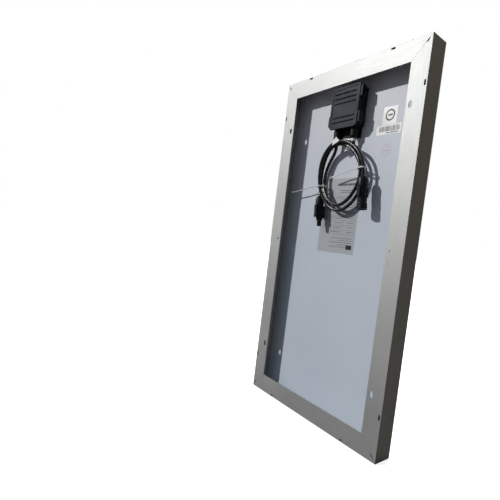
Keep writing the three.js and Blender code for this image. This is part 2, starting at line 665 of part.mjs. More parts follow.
// A cable tie round three strands, 1 mm thick and 2.6 mm tall, with its head and loose tail.
function tieBand(centres, z, tail) {
  const band = cut(roundedTriangle(centres, LEAD_RADIUS + 2.4, [z - 1.3, z + 1.3]),
    roundedTriangle(centres, LEAD_RADIUS + 1.5, [z - 2, z + 2]));
  const path = new THREE.CatmullRomCurve3(tail.map((p) => new THREE.Vector3(...p)));
  const strip = outline([[-0.5, -1.2], [0.5, -1.2], [0.5, 1.2], [-0.5, 1.2]]);
  const strap = solid(new THREE.ExtrudeGeometry(strip, { steps: 10, extrudePath: path, bevelEnabled: false }));
  const [hx, hy, hz] = tail[0];
  const head = block([hx - 2.4, hx + 2.4], [hy - 2, hy + 2], [hz - 2.3, hz + 2.3]);
  return join(band, strap, head);
}

const tieRight = tieBand([[-52.3, -10.5], [-47.4, -19], [-61.9, -6.8]], 135,
  [[-44.8, -11, 136.4], [-34, -11, 135], [-23.3, -11.5, 132.7], [1.6, -12, 127.3], [21, -12, 122.4]]);
const tieLeft = tieBand([[45.6, -9.9], [39.6, -15.2], [51.9, -17.2]], 107.5,
  [[58.2, -14.5, 108.4], [70, -13, 107.6], [82.4, -12, 105.3], [107.7, -12, 100.8], [136, -12, 97]]);
addMesh(panel, 'cable_tie_right', tieRight, 'nylon');
addMesh(panel, 'cable_tie_left', tieLeft, 'nylon');

// A paper tag on a lead just below its gland: a sleeve with a flat flag. The left flag reaches
// over the loops and hangs down in front of them, and the right one points across to it.
function polarityTag(x, flags) {
  const sleeve = ring(4.2, 3.6, [186, 191.2], 16).translate([x, -16.7, 0]);
  return join(sleeve, ...flags);
}

// A strip standing upright between two points in X and Y.
function upright([x0, y0], [x1, y1], heights, thickness = 0.4) {
  const length = Math.hypot(x1 - x0, y1 - y0);
  const angle = THREE.MathUtils.radToDeg(Math.atan2(y1 - y0, x1 - x0));
  return block([0, length], [-thickness / 2, thickness / 2], heights).rotate([0, 0, angle]).translate([x0, y0, 0]);
}

const hangingFlag = plate(outline([[15, 184.6], [6.5, 192.6], [-3, 184.6], [13.8, 177.8]]), [0.1, 0.5]);
addMesh(panel, 'polarity_tag_left',
  polarityTag(21.1, [upright([19, -13.2], [9, 0.4], [188, 190.6]), hangingFlag]), 'paper');
addMesh(panel, 'polarity_tag_right',
  polarityTag(-21.1, [upright([-18.5, -13.7], [0.5, -10.5], [187.9, 190.8])]), 'paper');

export default panel;
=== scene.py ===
# Looks for the framed photovoltaic panel: camera, leads, detailed pieces, materials and studio.
# Numbers times MM are millimetres in the row frame: +X right from the front, +Y out of the back, +Z up.

import math
import random

import bmesh
import bpy
from mathutils import Matrix, Vector


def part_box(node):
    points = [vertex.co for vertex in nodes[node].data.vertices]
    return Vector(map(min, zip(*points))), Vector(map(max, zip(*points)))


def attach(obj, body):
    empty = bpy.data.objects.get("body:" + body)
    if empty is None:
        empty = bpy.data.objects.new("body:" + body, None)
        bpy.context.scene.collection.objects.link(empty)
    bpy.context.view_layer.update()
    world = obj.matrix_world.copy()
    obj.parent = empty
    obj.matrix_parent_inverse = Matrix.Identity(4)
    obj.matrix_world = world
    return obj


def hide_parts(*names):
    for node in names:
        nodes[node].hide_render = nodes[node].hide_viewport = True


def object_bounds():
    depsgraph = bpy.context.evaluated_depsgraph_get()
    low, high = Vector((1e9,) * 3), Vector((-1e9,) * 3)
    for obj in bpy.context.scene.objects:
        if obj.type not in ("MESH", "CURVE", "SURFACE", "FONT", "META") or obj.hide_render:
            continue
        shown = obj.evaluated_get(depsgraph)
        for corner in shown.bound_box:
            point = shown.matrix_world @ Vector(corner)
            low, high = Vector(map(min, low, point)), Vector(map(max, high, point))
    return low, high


MM = 0.001
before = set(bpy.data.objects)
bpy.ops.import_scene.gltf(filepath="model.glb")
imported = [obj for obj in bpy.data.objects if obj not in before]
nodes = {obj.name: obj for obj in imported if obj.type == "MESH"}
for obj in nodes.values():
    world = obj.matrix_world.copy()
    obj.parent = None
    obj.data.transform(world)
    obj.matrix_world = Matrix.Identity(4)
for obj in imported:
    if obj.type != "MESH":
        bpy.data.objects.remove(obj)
cad_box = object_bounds()
scene = bpy.context.scene


# ---------------------------------------------------------------- camera

def add_camera(place_mm, forward, up, lens_mm, shift):
    """A camera at place_mm looking along forward, with its vertical along up."""
    data = bpy.data.cameras.new("camera")
    data.sensor_width = 36
    data.lens = lens_mm
    data.shift_x, data.shift_y = shift
    data.clip_start, data.clip_end = 0.01, 200
    camera = bpy.data.objects.new("camera", data)
    scene.collection.objects.link(camera)
    back = -Vector(forward).normalized()
    right = Vector(up).cross(back).normalized()
    true_up = back.cross(right)
    turn = Matrix((right, true_up, back)).transposed()
    camera.matrix_world = Matrix.Translation(Vector(place_mm) * MM) @ turn.to_4x4()
    scene.camera = camera


add_camera(place_mm=(-508.3, 463.5, -5.3), forward=(0.7358, -0.6759, -0.0421), up=(0.1169, 0.0655, 0.991),
           lens_mm=27.51, shift=(-0.148, 0.026))


# ---------------------------------------------------------------- node materials

class Look:
    """A node material around one Principled shader, with short calls for its pattern nodes."""

    def __init__(self, name, color, roughness, metallic=0.0, **plain):
        self.material = bpy.data.materials.new(name)
        self.material.use_nodes = True
        self.tree = self.material.node_tree
        self.shader = self.tree.nodes["Principled BSDF"]
        self.set("Base Color", (*color, 1))
        self.set("Roughness", roughness)
        self.set("Metallic", metallic)
        for socket, value in plain.items():
            self.set(socket.replace("_", " "), value)
        self.place = self.node("ShaderNodeTexCoord").outputs["Object"]

    def set(self, socket, value):
        self.shader.inputs[socket].default_value = value

    def node(self, kind, inputs=(), **settings):
        made = self.tree.nodes.new(kind)
        for key, value in settings.items():
            setattr(made, key, value)
        for key, value in dict(inputs).items():
            if isinstance(value, bpy.types.NodeSocket):
                self.tree.links.new(value, made.inputs[key])
            else:
                made.inputs[key].default_value = value
        return made

    def link(self, output, socket):
        self.tree.links.new(output, self.shader.inputs[socket])

    def stretch(self, scale, place=None):
        """Object coordinates scaled by scale, so that a pattern runs long where its scale is small."""
        return self.node("ShaderNodeMapping", {"Vector": place or self.place, "Scale": scale}).outputs[0]

    def noise(self, scale, detail=3, rough=0.55, place=None):
        inputs = {"Vector": place or self.place, "Scale": scale, "Detail": detail, "Roughness": rough}
        return self.node("ShaderNodeTexNoise", inputs).outputs["Fac"]

    def grains(self, scale, place=None):
        """One random colour for each grain."""
        inputs = {"Vector": place or self.place, "Scale": scale}
        return self.node("ShaderNodeTexVoronoi", inputs).outputs["Color"]

    def span(self, value, low, high, new_low=0.0, new_high=1.0):
        """value between low and high, carried over to new_low..new_high and clamped."""
        return self.node("ShaderNodeMapRange", {
            0: value, 1: low, 2: high, 3: new_low, 4: new_high}).outputs[0]

    def mix(self, factor, a, b, blend="MIX"):
        made = self.node("ShaderNodeMix", data_type="RGBA", blend_type=blend)
        for key, value in ((0, factor), (6, a), (7, b)):
            if isinstance(value, bpy.types.NodeSocket):
                self.tree.links.new(value, made.inputs[key])
            else:
                made.inputs[key].default_value = value if key == 0 else (*value[:3], 1)
        return made.outputs[2]

    def math(self, kind, a, b=0.0):
        return self.node("ShaderNodeMath", {0: a, 1: b}, operation=kind).outputs[0]

    def bump(self, height, strength, distance_mm, normal=None):
        inputs = {"Height": height, "Strength": strength, "Distance": distance_mm * MM}
        if normal:
            inputs["Normal"] = normal
        return self.node("ShaderNodeBump", inputs).outputs[0]


def anodised(name, along):
    """Satin anodised aluminium: extrusion lines along one axis, faint smudges and small dark specks."""
    look = Look(name, (0.55, 0.555, 0.55), 0.6, 0.85)
    thin = [1.0, 1.0, 1.0]
    thin["XYZ".index(along)] = 0.008
    lines = look.noise(2600, 4, 0.6, look.stretch(thin))
    cloud = look.noise(9, 4, 0.6)
    tone = look.mix(look.span(cloud, 0.3, 0.7), (0.515, 0.525, 0.52), (0.58, 0.585, 0.575))
    tone = look.mix(look.span(lines, 0.35, 0.65, 0, 0.35), tone, (0.43, 0.44, 0.435))
    specks = look.span(look.noise(700, 2, 0.5), 0.70, 0.74)
    tone = look.mix(look.math("MULTIPLY", specks, 0.5), tone, (0.28, 0.28, 0.27))
    look.link(tone, "Base Color")
    smudged = look.span(cloud, 0.25, 0.75, 0.56, 0.63)
    scratched = look.span(lines, 0.3, 0.7, -0.03, 0.04)
    look.link(look.math("ADD", smudged, scratched), "Roughness")
    look.link(look.bump(lines, 0.25, 0.03), "Normal")
    return look.material


def moulded(name, color, roughness):
    """Moulded plastic: a fine spark-eroded grain, faint flow clouds and a little dust."""
    look = Look(name, color, roughness, Specular_IOR_Level=0.27)
    grain = look.noise(2400, 3, 0.6)
    cloud = look.noise(60, 3, 0.6)
    lighter = tuple(c * 1.35 + 0.002 for c in color)
    tone = look.mix(look.span(cloud, 0.35, 0.7), color, lighter)
    dust = look.span(look.noise(900, 2, 0.5), 0.66, 0.72)
    tone = look.mix(look.math("MULTIPLY", dust, 0.15), tone, (0.45, 0.46, 0.48))
    look.link(tone, "Base Color")
    look.link(look.span(cloud, 0.3, 0.7, roughness - 0.05, roughness + 0.08), "Roughness")
    look.link(look.bump(grain, 0.3, 0.05), "Normal")
    return look.material


def rubbery(name, color, roughness, grain_depth=0.2):
    """Rubber or soft plastic with a fine grain."""
    look = Look(name, color, roughness)
    grain = look.noise(1500, 4, 0.6)
    lighter = tuple(c * 1.6 + 0.004 for c in color)
    look.link(look.mix(look.span(grain, 0.4, 0.7), color, lighter), "Base Color")
    look.link(look.span(look.noise(80), 0.3, 0.7, roughness - 0.06, roughness + 0.06), "Roughness")
    look.link(look.bump(grain, grain_depth, 0.04), "Normal")
    return look.material


def tinned(name, color=(0.74, 0.75, 0.77), roughness=0.3):
    """Solder-coated copper: uneven shine with faint pooling."""
    look = Look(name, color, roughness, 0.9)
    pool = look.noise(420, 3, 0.55)
    look.link(look.mix(look.span(pool, 0.35, 0.7), color, tuple(c * 0.8 for c in color)), "Base Color")
    look.link(look.span(pool, 0.3, 0.7, roughness - 0.08, roughness + 0.12), "Roughness")
    look.link(look.bump(pool, 0.25, 0.06), "Normal")
    return look.material


def film(name, color, roughness=0.5, **plain):
    """Paper or plastic film with a slight fibre mottling."""
    look = Look(name, color, roughness, **plain)
    fibre = look.noise(1800, 4, 0.6)
    cloud = look.noise(40, 2, 0.5)
    darker = tuple(c * 0.94 for c in color)
    tone = look.mix(look.span(cloud, 0.35, 0.65), color, darker)
    tone = look.mix(look.span(fibre, 0.4, 0.7, 0, 0.25), tone, tuple(c * 0.88 for c in color))
    look.link(tone, "Base Color")
    look.link(look.span(cloud, 0.3, 0.7, roughness - 0.06, roughness + 0.06), "Roughness")
    look.link(look.bump(fibre, 0.15, 0.02), "Normal")
    return look.material


def ink(name, color, roughness=0.5):
    """Printed ink, a little uneven."""
    look = Look(name, color, roughness)
    patchy = look.noise(1600, 3, 0.6)
    thinner = tuple(c * 1.5 + 0.03 for c in color)
    look.link(look.mix(look.span(patchy, 0.45, 0.75), color, thinner), "Base Color")
    look.link(look.span(patchy, 0.3, 0.7, roughness - 0.05, roughness + 0.1), "Roughness")
    return look.material


def backsheet_look():
    """White film, cool at the bottom and a lighter lilac towards the top, the lighter top being painted
    light, with a soft uneven relief.
    """
    look = Look("backsheet", (0.65, 0.72, 0.82), 0.52)
    cloud = look.noise(5, 3, 0.5)
    fine = look.noise(1400, 3, 0.6)
    tone = look.mix(look.span(cloud, 0.35, 0.65), (0.63, 0.705, 0.81), (0.675, 0.74, 0.835))
    height = look.node("ShaderNodeSeparateXYZ", {0: look.place}).outputs["Z"]
    # Painted light: the film turns lighter towards the top, standing in for the brighter light that falls
    # there.
    tone = look.mix(look.span(height, 0.0, 0.3, 0, 0.7), tone, (0.82, 0.81, 0.87))
    tone = look.mix(look.span(fine, 0.45, 0.7, 0, 0.12), tone, (0.56, 0.61, 0.70))
    look.link(tone, "Base Color")
    look.link(look.span(cloud, 0.3, 0.7, 0.46, 0.58), "Roughness")
    soft = look.noise(22, 2, 0.4)
    look.link(look.bump(fine, 0.12, 0.02, look.bump(soft, 0.25, 0.4)), "Normal")
    return look.material


def glass_look():
    """Clear tempered cover glass: a mirror by its angle, and clear where it doesn't reflect."""
    look = Look("cover_glass", (1, 1, 1), 0.1)
    orange_peel = look.bump(look.noise(260, 2, 0.5), 0.10, 0.05)
    outside = look.math("SUBTRACT", 1.0, look.node("ShaderNodeNewGeometry").outputs["Backfacing"])
    fresnel = look.node("ShaderNodeFresnel", {"IOR": 1.42, "Normal": orange_peel}).outputs[0]
    fresnel = look.math("MULTIPLY", fresnel, outside)
    gloss = look.node("ShaderNodeBsdfGlossy", {
        "Color": (1, 1, 1, 1), "Roughness": 0.10, "Normal": orange_peel}).outputs[0]
    clear = look.node("ShaderNodeBsdfTransparent", {"Color": (0.975, 0.99, 0.985, 1)}).outputs[0]
    both = look.node("ShaderNodeMixShader", {0: fresnel, 1: clear, 2: gloss}).outputs[0]
    look.tree.nodes.remove(look.shader)
    look.tree.links.new(both, look.tree.nodes["Material Output"].inputs["Surface"])
    return look.material


def clear_film(name):
    """Cured encapsulant: almost nothing of it shows."""
    look = Look(name, (1, 1, 1), 0.3)
    mottling = look.span(look.noise(300), 0.3, 0.7, 0.010, 0.025)
    haze = look.node("ShaderNodeBsdfDiffuse", {"Color": (0.9, 0.92, 0.95, 1)}).outputs[0]
    clear = look.node("ShaderNodeBsdfTransparent", {"Color": (0.99, 0.995, 0.995, 1)}).outputs[0]
    both = look.node("ShaderNodeMixShader", {0: mottling, 1: clear, 2: haze}).outputs[0]
    look.tree.nodes.remove(look.shader)
    look.tree.links.new(both, look.tree.nodes["Material Output"].inputs["Surface"])
    return look.material


FINGER_PITCH = 1.85 * MM


def silicon():
    """Polycrystalline silicon: flakes of blue and violet, crossed by fine printed fingers."""
    look = Look("polycrystalline_silicon", (0.010, 0.022, 0.12), 0.34, 0.0, Specular_IOR_Level=0.3)
    warped = look.mix(0.12, look.place, look.node("ShaderNodeTexNoise", {
        "Vector": look.place, "Scale": 90, "Detail": 2}).outputs["Color"], "LINEAR_LIGHT")
    flake = look.grains(120, warped)
    parts = look.node("ShaderNodeSeparateColor", {0: flake}).outputs
    small = look.node("ShaderNodeSeparateColor", {0: look.grains(430, warped)}).outputs
    tone = look.mix(parts[0], (0.0015, 0.006, 0.040), (0.008, 0.020, 0.120))
    tone = look.mix(look.span(parts[1], 0.6, 1.0, 0, 0.8), tone, (0.024, 0.010, 0.09))
    tone = look.mix(look.span(small[0], 0.6, 1.0, 0, 0.45), tone, (0.014, 0.036, 0.17))
    z = look.node("ShaderNodeSeparateXYZ", {0: look.place}).outputs["Z"]
    wave = look.math("FRACT", look.math("MULTIPLY", z, 1 / FINGER_PITCH))
    finger = look.math("LESS_THAN", wave, 0.06)
    tone = look.mix(look.math("MULTIPLY", finger, 0.35), tone, (0.20, 0.24, 0.36))
    look.link(tone, "Base Color")
    look.link(look.span(parts[2], 0, 1, 0.22, 0.42), "Roughness")
    look.link(look.span(finger, 0, 1, 0.15, 0.7), "Metallic")
    return look.material


LOOKS = {
    "frame_z": anodised("anodised_upright", "Z"),
    "frame_x": anodised("anodised_crosswise", "X"),
    "key": anodised("cast_key", "Y"),
    "sealant": film("white_sealant", (0.80, 0.81, 0.83), 0.55),
    "backsheet": backsheet_look(),
    "glass": glass_look(),
    "clear_front": clear_film("encapsulant_front_film"),
    "clear_rear": clear_film("encapsulant_rear_film"),
    "silicon": silicon(),
    "ribbon": tinned("ribbon", (0.70, 0.72, 0.80), 0.34),
    # Painted sheen: the cells' front ribbons are a pale matte film, not shiny tinned metal, with the light
    # they would reflect painted into their colour.
    "ribbon_sheen_painted": film("ribbon_painted_sheen", (0.80, 0.76, 0.86), 0.4),
    "black": moulded("black_moulding", (0.005, 0.006, 0.008), 0.40),
    "slate": moulded("lid_moulding", (0.012, 0.020, 0.032), 0.56),
    "epoxy": moulded("diode_epoxy", (0.02, 0.02, 0.022), 0.35),
    "rubber": rubbery("seal_rubber", (0.02, 0.02, 0.02), 0.7),
    "jacket": rubbery("lead_jacket", (0.006, 0.006, 0.007), 0.27, 0.06),
    "tinned": tinned("tinned_contact"),
    "nylon": film("tie_nylon", (0.78, 0.80, 0.80), 0.35),
    "paper": film("tag_paper", (0.96, 0.96, 0.96), 0.45, Specular_IOR_Level=0.9),
    "foil": film("silver_label", (0.51, 0.54, 0.58), 0.45),
    "print": ink("label_print", (0.13, 0.135, 0.14)),
    "dark_print": ink("dark_label_print", (0.012, 0.013, 0.016)),
    "stamp": ink("stamp_ink", (0.60, 0.40, 0.47)),
}


def dress(node, look):
    """Gives a carried-over CAD node its node material."""
    data = nodes[node].data
    data.materials.clear()
    data.materials.append(LOOKS[look])


# ---------------------------------------------------------------- leads

LEAD_RADIUS = 3
LEAD_LEFT = [
    (21, -16.5, 199), (21, -16.5, 191), (21.5, -17.3, 182), (25.5, -18.5, 170),
    (33, -19, 158), (39.5, -19, 146), (43, -18.5, 133), (43, -17.5, 121), (40.5, -15.5, 109),
    (35, -14, 98.5), (27, -12.5, 88.5), (17, -11.5, 80), (5, -11, 74), (-8, -11, 72), (-20.5, -11, 75.5),
    (-33, -11, 84), (-43, -10.5, 95), (-50, -10.5, 108), (-53, -10.5, 122), (-52, -10.5, 136.5),
    (-47, -10.7, 149), (-38, -11, 160.5), (-25, -11, 171.5), (-9, -10.7, 179.5), (7, -10.6, 182.5),
    (21, -10.8, 180.5), (32.5, -12.5, 174.5), (41, -14.5, 166), (47, -15.5, 155.5), (51, -16.5, 144),
    (53, -17.5, 132), (53.3, -18, 120), (52, -17.2, 108), (48.8, -15.2, 97.5), (45.8, -13.5, 88),
    (45.2, -13.5, 82.5),
]
LEAD_RIGHT = [
    (-21, -16.5, 199), (-21, -16.5, 191), (-21.5, -17.3, 182), (-25.5, -18.5, 170),
    (-33, -19, 158), (-41.5, -19, 146), (-48, -19, 132), (-51.5, -18.5, 117), (-51, -17.5, 103),
    (-47, -16.5, 91), (-40, -15.5, 80.5), (-31, -14.5, 72), (-19.5, -14, 65.5), (-7, -13.5, 63),
    (7, -13, 65.5), (20.5, -12.5, 72.5), (33, -11.5, 84), (42.5, -10.5, 98), (47.5, -9.5, 113.5),
    (49.2, -8.5, 129.5), (48.5, -8, 143.5), (45, -7.5, 156.5), (39, -7, 167.5), (30, -6, 175.5),
    (18.5, -4.4, 181.5), (5.5, -4, 184), (-7.5, -4, 184.5), (-20, -4.3, 181.5), (-34, -5, 174.5),
    (-47, -5.5, 164), (-56, -6, 151.5), (-61.3, -6.6, 138), (-63.5, -7, 126), (-64.5, -7, 118.5),
    (-65.2, -7, 113),
]


def smooth_route(points, per_span=7):
    """Points along the centripetal Catmull-Rom curve through the given ones."""
    points = [Vector(p) for p in points]
    ends = [points[0] * 2 - points[1], *points, points[-1] * 2 - points[-2]]
    route = []
    for a, b, c, d in zip(ends, ends[1:], ends[2:], ends[3:]):
        t0 = 0.0
        t1 = t0 + (b - a).length ** 0.5
        t2 = t1 + (c - b).length ** 0.5
        t3 = t2 + (d - c).length ** 0.5
        for k in range(per_span):
            t = t1 + (t2 - t1) * k / per_span
            ab = a * ((t1 - t) / (t1 - t0)) + b * ((t - t0) / (t1 - t0))
            bc = b * ((t2 - t) / (t2 - t1)) + c * ((t - t1) / (t2 - t1))
            cd = c * ((t3 - t) / (t3 - t2)) + d * ((t - t2) / (t3 - t2))
            abc = ab * ((t2 - t) / (t2 - t0)) + bc * ((t - t0) / (t2 - t0))
            bcd = bc * ((t3 - t) / (t3 - t1)) + cd * ((t - t1) / (t3 - t1))
            route.append(abc * ((t2 - t) / (t2 - t1)) + bcd * ((t - t1) / (t2 - t1)))
    return [*route, points[-1]]


def add_lead(name, points, node):
    """A lead's black jacket: a round smooth curve along its route."""
    data = bpy.data.curves.new(name, "CURVE")
    data.dimensions = "3D"
    data.bevel_depth = LEAD_RADIUS * MM
    data.bevel_resolution = 5
    data.use_fill_caps = True
    route = smooth_route(points)
    spline = data.splines.new("POLY")
    spline.points.add(len(route) - 1)
    for target, p in zip(spline.points, route):
        target.co = (*(p * MM), 1)
    spline.use_smooth = True
    data.materials.append(LOOKS["jacket"])
    lead = bpy.data.objects.new(name, data)
    scene.collection.objects.link(lead)
    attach(lead, "panel")
    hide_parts(node)
    return lead


lead_left = add_lead("lead_left_jacket", LEAD_LEFT, "lead_left")
lead_right = add_lead("lead_right_jacket", LEAD_RIGHT, "lead_right")


# ---------------------------------------------------------------- mesh helpers

def finish_piece(piece, look, body, replaces=()):
    """Gives a piece its materials, its body and the CAD nodes that it stands for."""
    for name in ([look] if isinstance(look, str) else look):
        piece.data.materials.append(LOOKS[name])
    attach(piece, body)
    if replaces:
        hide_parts(*replaces)
    return piece


def object_from(bm, name):
    """A smooth-shaded object from a bmesh, with its edges sharp above 32 degrees."""
    data = bpy.data.meshes.new(name)
    bm.to_mesh(data)
    bm.free()
    data.shade_smooth()
    data.set_sharp_from_angle(angle=math.radians(32))
    piece = bpy.data.objects.new(name, data)
    scene.collection.objects.link(piece)
    return piece


def rounded_copy(node, name, round_mm):
    """A new mesh from a CAD solid, with its flat faces whole again and its edges rounded."""
    bm = bmesh.new()
    bm.from_mesh(nodes[node].data)
    bmesh.ops.remove_doubles(bm, verts=bm.verts, dist=0.004 * MM)
    bmesh.ops.dissolve_limit(bm, angle_limit=math.radians(0.6), verts=bm.verts, edges=bm.edges)
    edges = [e for e in bm.edges if len(e.link_faces) == 2 and e.calc_face_angle(0) > math.radians(28)]
    bmesh.ops.bevel(bm, geom=edges, offset=round_mm * MM, segments=2, profile=0.7,
                    affect="EDGES", clamp_overlap=True)
    piece = object_from(bm, name)
    flat = piece.modifiers.new("flat_faces", "WEIGHTED_NORMAL")
    flat.weight = 100
    flat.keep_sharp = True
    return piece


# ---------------------------------------------------------------- frame and mouldings

RAIL_LOOKS = {"left": "frame_z", "right": "frame_z", "top": "frame_x", "bottom": "frame_x"}
for side, rail_look in RAIL_LOOKS.items():
    rail = rounded_copy(f"frame_rail_{side}", f"rail_{side}", 0.25)
    finish_piece(rail, rail_look, "panel", [f"frame_rail_{side}"])

# CAD node: the piece's name, its edge rounding in millimetres, its look, its body and its finish.
ROUNDED = {
    "junction_box_base": ("base_moulding", 0.5, "black", "panel", "box_black"),
    "junction_box_lid": ("lid_moulding", 0.45, "slate", "box_lid", "lid_slate"),
    "gland_nut_left": ("gland_nut_left_moulding", 0.3, "black", "gland_nut_left_body", "box_black"),
    "gland_nut_right": ("gland_nut_right_moulding", 0.3, "black", "gland_nut_right_body", "box_black"),
    "plug_cap_nut": ("plug_cap_moulding", 0.25, "black", "plug_cap_body", "box_black"),
    "plug_housing": ("plug_moulding", 0.25, "black", "panel", "box_black"),
    "socket_cap_nut": ("socket_cap_moulding", 0.25, "black", "socket_cap_body", "box_black"),
    "socket_housing": ("socket_moulding", 0.25, "black", "panel", "box_black"),
}
for node, (name, round_mm, look, body, slot) in ROUNDED.items():
    finish_piece(rounded_copy(node, name, round_mm), look, body, [node])


# ---------------------------------------------------------------- cells

CELL_ROWS = 18
CELLS_BOTTOM, CELL_HEIGHT, CELL_GAP = -298.5, 31.35, 2
CELL_Y = (-28.75, -28.55)
RIBBONS = 5
RIBBON_HALF_WIDTH = 0.75


def add_block(bm, low, high, material=0):
    """A closed block between two corners in millimetres."""
    xs, ys, zs = zip(low, high)
    v = [bm.verts.new((x * MM, y * MM, z * MM)) for x in xs for y in ys for z in zs]
    for ring in ((0, 1, 3, 2), (4, 6, 7, 5), (0, 4, 5, 1), (2, 3, 7, 6), (0, 2, 6, 4), (1, 5, 7, 3)):
        bm.faces.new([v[k] for k in ring]).material_index = material


def add_cells(side):
    """One column of cut cells with their five soldered ribbons, in the room of the CAD string."""
    low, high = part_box(f"cell_string_{side}")
    low, high = low / MM, high / MM
    width = high.x - low.x
    bm = bmesh.new()
    for row in range(CELL_ROWS):
        z = CELLS_BOTTOM + row * (CELL_HEIGHT + CELL_GAP)
        add_block(bm, (low.x, CELL_Y[0], z), (high.x, CELL_Y[1], z + CELL_HEIGHT))
    for k in range(RIBBONS):
        x = low.x + (k + 0.5) * width / RIBBONS
        ribbon_low = (x - RIBBON_HALF_WIDTH, CELL_Y[0] - 0.08, low.z)
        ribbon_high = (x + RIBBON_HALF_WIDTH, CELL_Y[0] - 0.01, high.z - 1.5)
        add_block(bm, ribbon_low, ribbon_high, 1)
    bmesh.ops.recalc_face_normals(bm, faces=bm.faces)
    piece = object_from(bm, f"cells_{side}")
    # The ribbons take the pale matte look, whose colour is a painted sheen.
    finish_piece(piece, ["silicon", "ribbon_sheen_painted"], "panel", [f"cell_string_{side}"])


add_cells("left")
add_cells("right")


# ---------------------------------------------------------------- lid ribs and slot fill

RIB_ENDS = (-26.5, 27)
RIB_HEIGHTS = (219.6, 227.8, 253, 261.7, 270.3)
# A rib's section: up from its groove's middle, and out from the lid's recessed face.
RIB_SECTION = [(0.7, -0.6), (0.7, 0.75), (1.0, 1.0), (1.5, 1.0), (2.4, 0.0), (2.4, -0.6)]
LID_RECESS = 0.8


def add_lid_ribs():
    """Low ribs along the upper edge of the lid's grooves, with sloping tops."""
    bm = bmesh.new()
    face_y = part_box("junction_box_lid")[1].y / MM - LID_RECESS
    for z in RIB_HEIGHTS:
        first, last = ([bm.verts.new((x * MM, (face_y + out) * MM, (z + up) * MM)) for up, out in RIB_SECTION]
                       for x in RIB_ENDS)
        bm.faces.new(first)
        bm.faces.new(last[::-1])
        for k in range(len(RIB_SECTION)):
            n = (k + 1) % len(RIB_SECTION)
            bm.faces.new((first[k], last[k], last[n], first[n]))
    bmesh.ops.recalc_face_normals(bm, faces=bm.faces)
    finish_piece(object_from(bm, "lid_ribs"), "slate", "box_lid")


def add_slot_fill():
    """Cured encapsulant that fills the ribbon slot, white from the front."""
    bm = bmesh.new()
    add_block(bm, (-25.5, -28.17, 263.3), (25.5, -28.13, 271))
    bmesh.ops.recalc_face_normals(bm, faces=bm.faces)
    finish_piece(object_from(bm, "slot_fill"), "sealant", "panel")


add_lid_ribs()
add_slot_fill()


# ---------------------------------------------------------------- printed labels

PROUD = 0.03
LINE = 0.25
TABLE_ROWS = 5


def label_corners(node):
    """A label's lowest and highest X, and its lowest and highest Z, in millimetres."""
    low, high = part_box(node)
    return low.x / MM, high.x / MM, low.z / MM, high.z / MM


def add_print(name, marks, look, under):
    """Flat printed marks, each a polygon of (x, z) corners in millimetres, just proud of a node's back."""
    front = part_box(under)[1].y + PROUD * MM
    bm = bmesh.new()
    for corners in marks:
        face = bm.faces.new([bm.verts.new((x * MM, front, z * MM)) for x, z in corners])
        face.normal_update()
        if face.normal.y < 0:
            face.normal_flip()
    finish_piece(object_from(bm, name), look, "panel")


def bar(x0, z0, x1, z1):
    return [(x0, z0), (x1, z0), (x1, z1), (x0, z1)]


def hoop(x, z, outer, inner, sides=28):
    """A ring as a run of four-cornered pieces."""
    pieces = []
    for k in range(sides):
        a, b = math.tau * k / sides, math.tau * (k + 1) / sides
        corners = ((outer, a), (outer, b), (inner, b), (inner, a))
        pieces.append([(x + r * math.cos(t), z + r * math.sin(t)) for r, t in corners])
    return pieces


def square_outline(x, z, half, width=0.5):
    """A hollow square as four bars."""
    inside = half - width
    return [bar(x - half, z - half, x + half, z - inside), bar(x - half, z + inside, x + half, z + half),
            bar(x - half, z - half, x - inside, z + half), bar(x + inside, z - half, x + half, z + half)]


def text_lines(chance, x0, x1, z_top, rows, pitch, height):
    """Rows of short dashes that stand for small print and say nothing."""
    marks = []
    for row in range(rows):
        z = z_top - row * pitch
        x = x0
        stop = x0 + (x1 - x0) * chance.uniform(0.55, 1.0)
        while x < stop:
            run = chance.uniform(1.6, 5.0)
            marks.append(bar(x, z - height, min(x + run, stop), z))
            x += run + 0.9
    return marks


def table_marks(chance, x0, x1, low, top):
    """A ruled table of two columns with one dashed entry in each cell."""
    middle = x0 + 28
    pitch = (top - low) / TABLE_ROWS
    marks = [bar(x0, z - LINE, x1, z + LINE) for z in (top - pitch * k for k in range(TABLE_ROWS + 1))]
    marks += [bar(x - LINE, low, x + LINE, top) for x in (x0, middle, x1)]
    for k in range(TABLE_ROWS):
        z = top - pitch * (k + 0.35)
        marks += text_lines(chance, x0 + 3, middle - 3, z, 1, 3, 1.3)
        marks += text_lines(chance, middle + 4, x1 - 4, z, 1, 3, 1.3)
    return marks


def rating_marks():
    """The rating label's small print, its table and its column of four icon boxes."""
    chance = random.Random(4)
    x0, x1, z0, z1 = label_corners("rating_label")
    marks = text_lines(chance, x0 + 12, x1 - 22, z1 - 22, 2, 3.4, 1.5)
    marks += text_lines(chance, x0 + 6, x1 - 30, z1 - 34, 6, 3.8, 1.2)
    marks += table_marks(chance, x0 + 6, x1 - 24, z0 + 34, z1 - 62)
    for k in range(4):
        x, z = x1 - 14, z1 - 40 - k * 16
        marks += square_outline(x, z, 5)
        marks += hoop(x, z, 2.8, 2.1, 12)
    marks += text_lines(chance, x0 + 6, x1 - 26, z0 + 28, 5, 4.0, 1.2)
    return marks


def heading_marks():
    """The rating label's bold heading line and the block in its lower corner."""
    x0, _, z0, z1 = label_corners("rating_label")
    heading = text_lines(random.Random(2), x0 + 6, x0 + 60, z1 - 10, 1, 4, 4)
    return [*heading, bar(x0 + 5, z0 + 8, x0 + 19, z0 + 16)]


def barcode_marks():
    """Random upright stripes with a dashed line under them."""
    chance = random.Random(9)
    x0, x1, z0, z1 = label_corners("serial_label")
    marks = []
    x = x0 + 4
    while x < x1 - 5:
        width = chance.choice((0.35, 0.6, 0.95))
        marks.append(bar(x, z0 + 5.2, x + width, z1 - 2))
        x += width + chance.choice((0.45, 0.7, 1.0))
    return marks + text_lines(chance, x0 + 7, x1 - 7, z0 + 3.6, 1, 3, 1.5)


